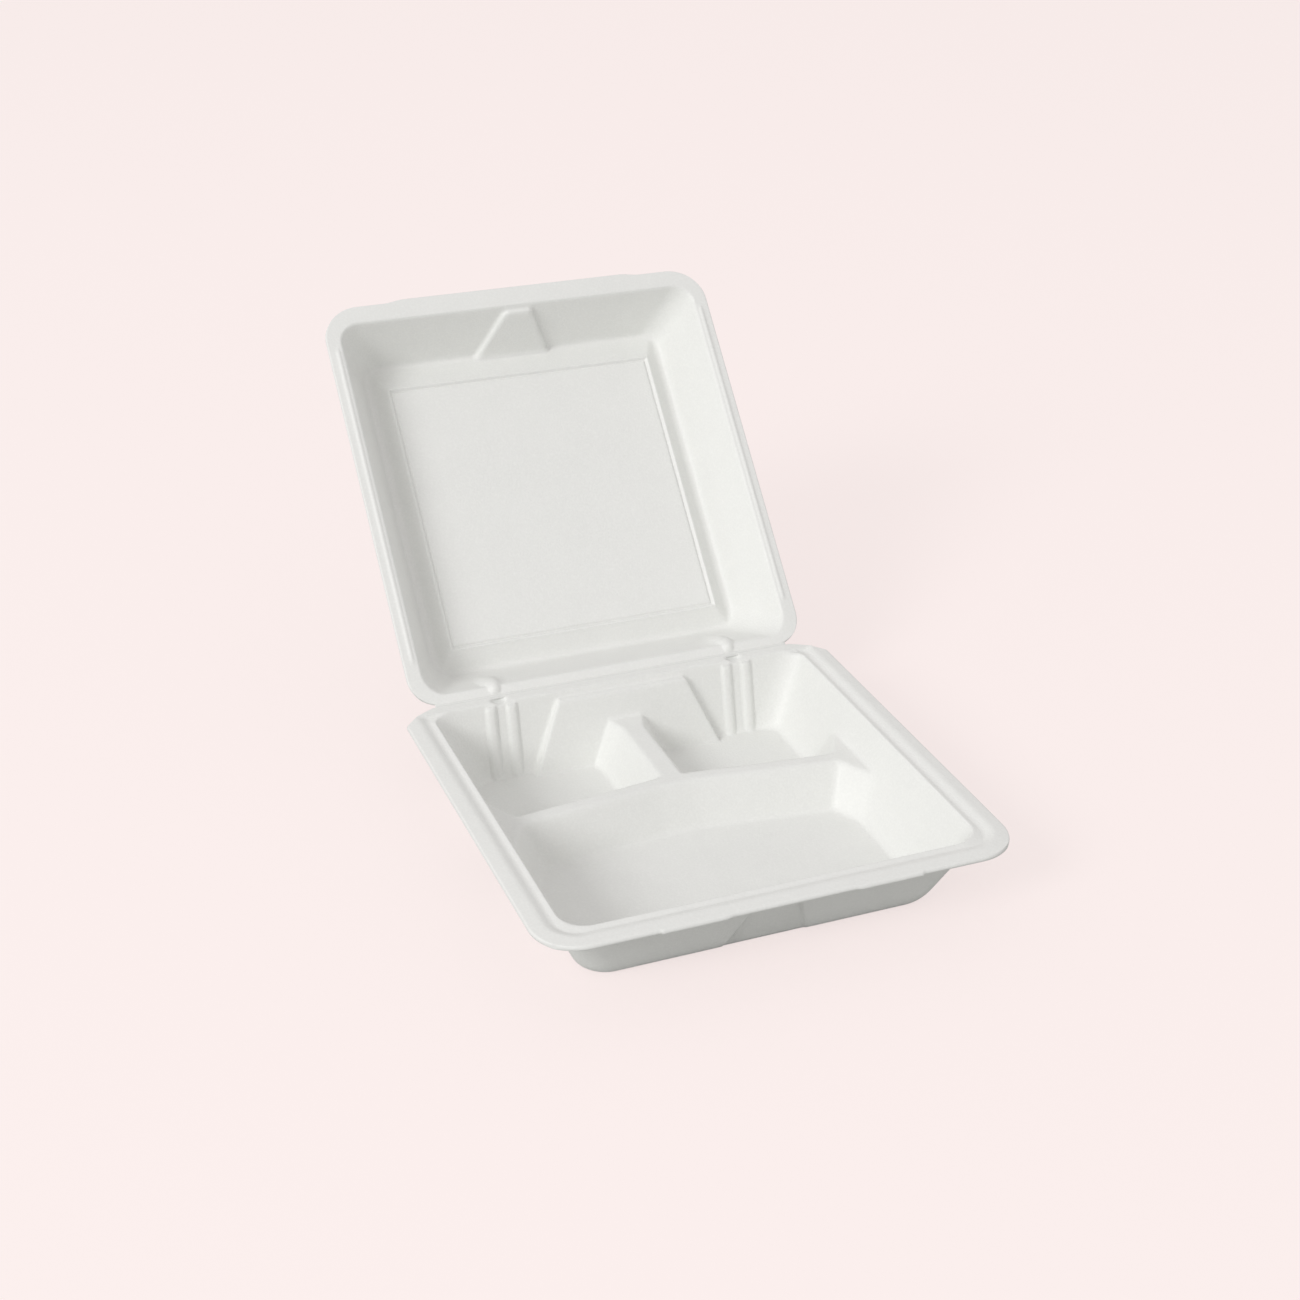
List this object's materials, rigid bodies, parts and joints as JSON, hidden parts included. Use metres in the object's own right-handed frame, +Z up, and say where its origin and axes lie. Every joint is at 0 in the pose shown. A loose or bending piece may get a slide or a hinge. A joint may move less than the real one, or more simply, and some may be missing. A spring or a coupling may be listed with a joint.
{
  "type": "foam clamshell food container",
  "caption": "Hinged white foam takeout box with its lid standing open and a bowed divider and a ridge between its compartments.",
  "frame": {"origin": "middle of the tray's rim outline, on the surface it stands on", "axes": "+Z up, +X to the right seen from the open front, +Y towards the hinge"},
  "size_m": [0.241, 0.4005, 0.2111],
  "materials": {
    "white_foam": "matt expanded polystyrene with a faint cell texture"
  },
  "bodies": {
    "base": {"base_tray": "white_foam"},
    "lid": {"lid": "white_foam"}
  },
  "joints": [
    {"name": "lid_hinge", "type": "hinge", "parent": "base", "child": "lid", "pos_m": [0, 0.11455, 0.04335], "axis": [-1, 0, 0], "range_deg": [-134, 46]}
  ]
}
